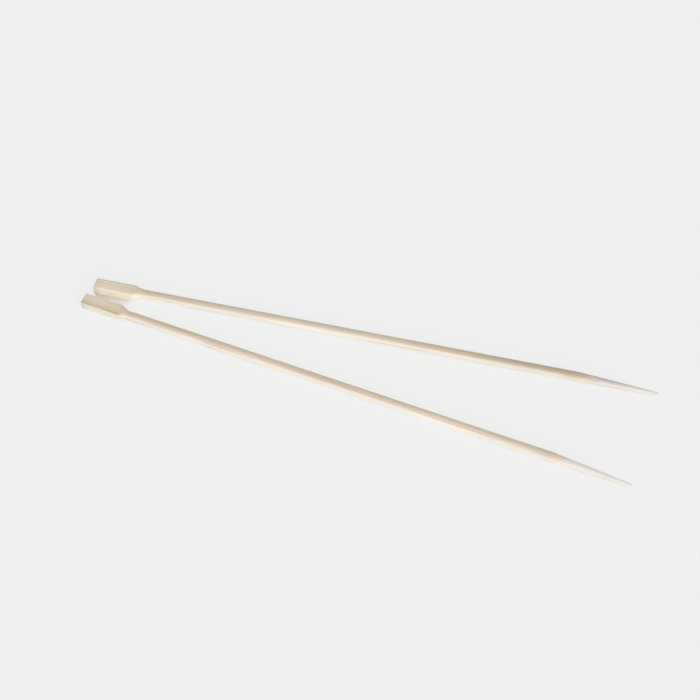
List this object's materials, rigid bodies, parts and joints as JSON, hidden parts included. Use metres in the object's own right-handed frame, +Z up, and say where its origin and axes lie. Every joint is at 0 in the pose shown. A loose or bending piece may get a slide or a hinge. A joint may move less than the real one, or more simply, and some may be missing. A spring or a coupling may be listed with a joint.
{
  "type": "bamboo chopsticks",
  "caption": "Disposable bamboo chopsticks with square heads, hollow shoulders, round shafts and tips tapered from above, lying splayed in a narrow V.",
  "frame": {"origin": "middle of the underside of the lying sticks, at the centre of their box", "axes": "+X from the square heads towards the tips, along the middle of the V; +Y towards the left stick; +Z up"},
  "size_m": [0.2309, 0.0456, 0.0044],
  "materials": {
    "bamboo": "satin"
  },
  "bodies": {
    "root": {"left_chopstick": "bamboo", "right_chopstick": "bamboo"}
  },
  "joints": []
}
